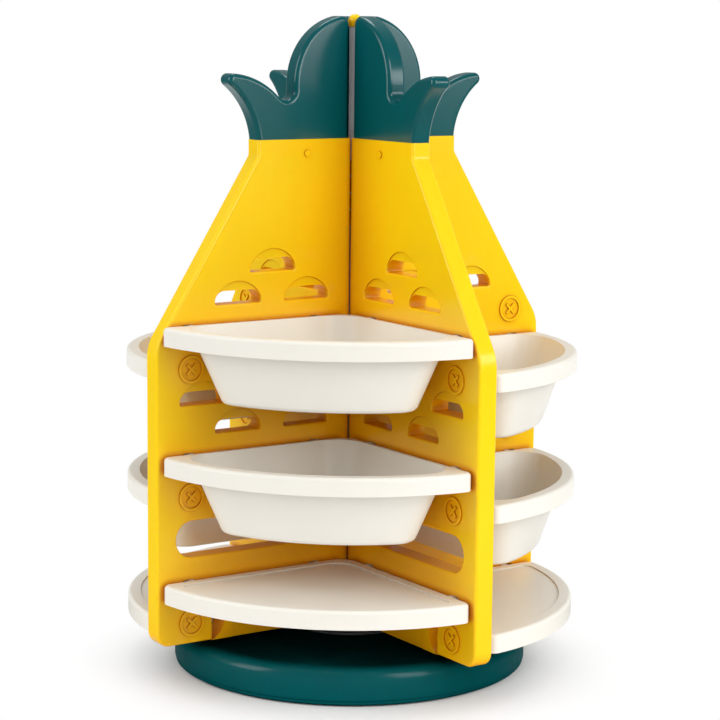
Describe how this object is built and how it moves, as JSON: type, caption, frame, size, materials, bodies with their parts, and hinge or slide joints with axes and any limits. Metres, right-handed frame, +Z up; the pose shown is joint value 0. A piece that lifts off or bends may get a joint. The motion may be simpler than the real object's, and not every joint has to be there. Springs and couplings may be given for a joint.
{
  "type": "revolving toy organiser",
  "caption": "Floor-standing revolving toy organiser: a round base, crossed yellow panels with green pineapple leaves, lift-out quarter-round bins and bottom trays.",
  "frame": {"origin": "on the floor, on the axis that the carousel turns about", "axes": "+Z up along the turning axis; +X and +Y each along one of the four panels"},
  "size_m": [0.66, 0.66, 0.9396],
  "materials": {
    "yellow_plastic": "blow-moulded polyethylene, satin to glossy",
    "green_plastic": "moulded polypropylene, satin to glossy",
    "white_plastic": "moulded polypropylene, fine satin grain",
    "yellow_cap": "moulded polyethylene",
    "pole_steel": "drawn and zinc-plated tube",
    "zinc_steel": "zinc-plated",
    "race_steel": "pressed and zinc-plated",
    "ball_steel": "ground and polished",
    "cage_nylon": "natural nylon",
    "pin_plastic": "moulded",
    "foot_rubber": "matt"
  },
  "bodies": {
    "base": {"base_plate": "green_plastic", "base_shell": "green_plastic", "base_feet": "foot_rubber", "base_screws": "zinc_steel", "bearing_lower_race": "race_steel", "lower_race_screws": "zinc_steel"},
    "ball_ring": {"bearing_cage": "cage_nylon", "bearing_balls": "ball_steel"},
    "carousel": {"bearing_upper_race": "race_steel", "upper_race_screws": "zinc_steel", "hub_cross": "yellow_plastic", "arm_screws": "zinc_steel", "centre_pole": "pole_steel", "pole_insert": "zinc_steel", "pole_bolt": "zinc_steel", "pole_cap": "yellow_cap", "leaf_pins": "pin_plastic", "panel_east": "yellow_plastic", "panel_north": "yellow_plastic", "panel_west": "yellow_plastic", "panel_south": "yellow_plastic", "leaf_east": "green_plastic", "leaf_north": "green_plastic", "leaf_west": "green_plastic", "leaf_south": "green_plastic", "tray_northeast": "white_plastic", "tray_northwest": "white_plastic", "tray_southwest": "white_plastic", "tray_southeast": "white_plastic"},
    "bin_upper_northeast": {"bin_upper_northeast": "white_plastic"},
    "bin_lower_northeast": {"bin_lower_northeast": "white_plastic"},
    "bin_upper_northwest": {"bin_upper_northwest": "white_plastic"},
    "bin_lower_northwest": {"bin_lower_northwest": "white_plastic"},
    "bin_upper_southwest": {"bin_upper_southwest": "white_plastic"},
    "bin_lower_southwest": {"bin_lower_southwest": "white_plastic"},
    "bin_upper_southeast": {"bin_upper_southeast": "white_plastic"},
    "bin_lower_southeast": {"bin_lower_southeast": "white_plastic"}
  },
  "joints": [
    {"name": "carousel_spin", "type": "hinge", "parent": "base", "child": "carousel", "pos_m": [0, 0, 0.058], "axis": [0, 0, 1], "continuous": true},
    {"name": "ball_ring_spin", "type": "hinge", "parent": "base", "child": "ball_ring", "pos_m": [0, 0, 0.058], "axis": [0, 0, 1], "continuous": true},
    {"name": "bin_upper_northeast_lift_out", "type": "slide", "parent": "carousel", "child": "bin_upper_northeast", "axis": [0.7071, 0.7071, 0], "range_m": [0, 0.32]},
    {"name": "bin_lower_northeast_lift_out", "type": "slide", "parent": "carousel", "child": "bin_lower_northeast", "axis": [0.7071, 0.7071, 0], "range_m": [0, 0.32]},
    {"name": "bin_upper_northwest_lift_out", "type": "slide", "parent": "carousel", "child": "bin_upper_northwest", "axis": [-0.7071, 0.7071, 0], "range_m": [0, 0.32]},
    {"name": "bin_lower_northwest_lift_out", "type": "slide", "parent": "carousel", "child": "bin_lower_northwest", "axis": [-0.7071, 0.7071, 0], "range_m": [0, 0.32]},
    {"name": "bin_upper_southwest_lift_out", "type": "slide", "parent": "carousel", "child": "bin_upper_southwest", "axis": [-0.7071, -0.7071, 0], "range_m": [0, 0.32]},
    {"name": "bin_lower_southwest_lift_out", "type": "slide", "parent": "carousel", "child": "bin_lower_southwest", "axis": [-0.7071, -0.7071, 0], "range_m": [0, 0.32]},
    {"name": "bin_upper_southeast_lift_out", "type": "slide", "parent": "carousel", "child": "bin_upper_southeast", "axis": [0.7071, -0.7071, 0], "range_m": [0, 0.32]},
    {"name": "bin_lower_southeast_lift_out", "type": "slide", "parent": "carousel", "child": "bin_lower_southeast", "axis": [0.7071, -0.7071, 0], "range_m": [0, 0.32]}
  ],
  "couplings": [
    {"joint": "ball_ring_spin", "follows": "carousel_spin", "ratio": 0.5}
  ]
}
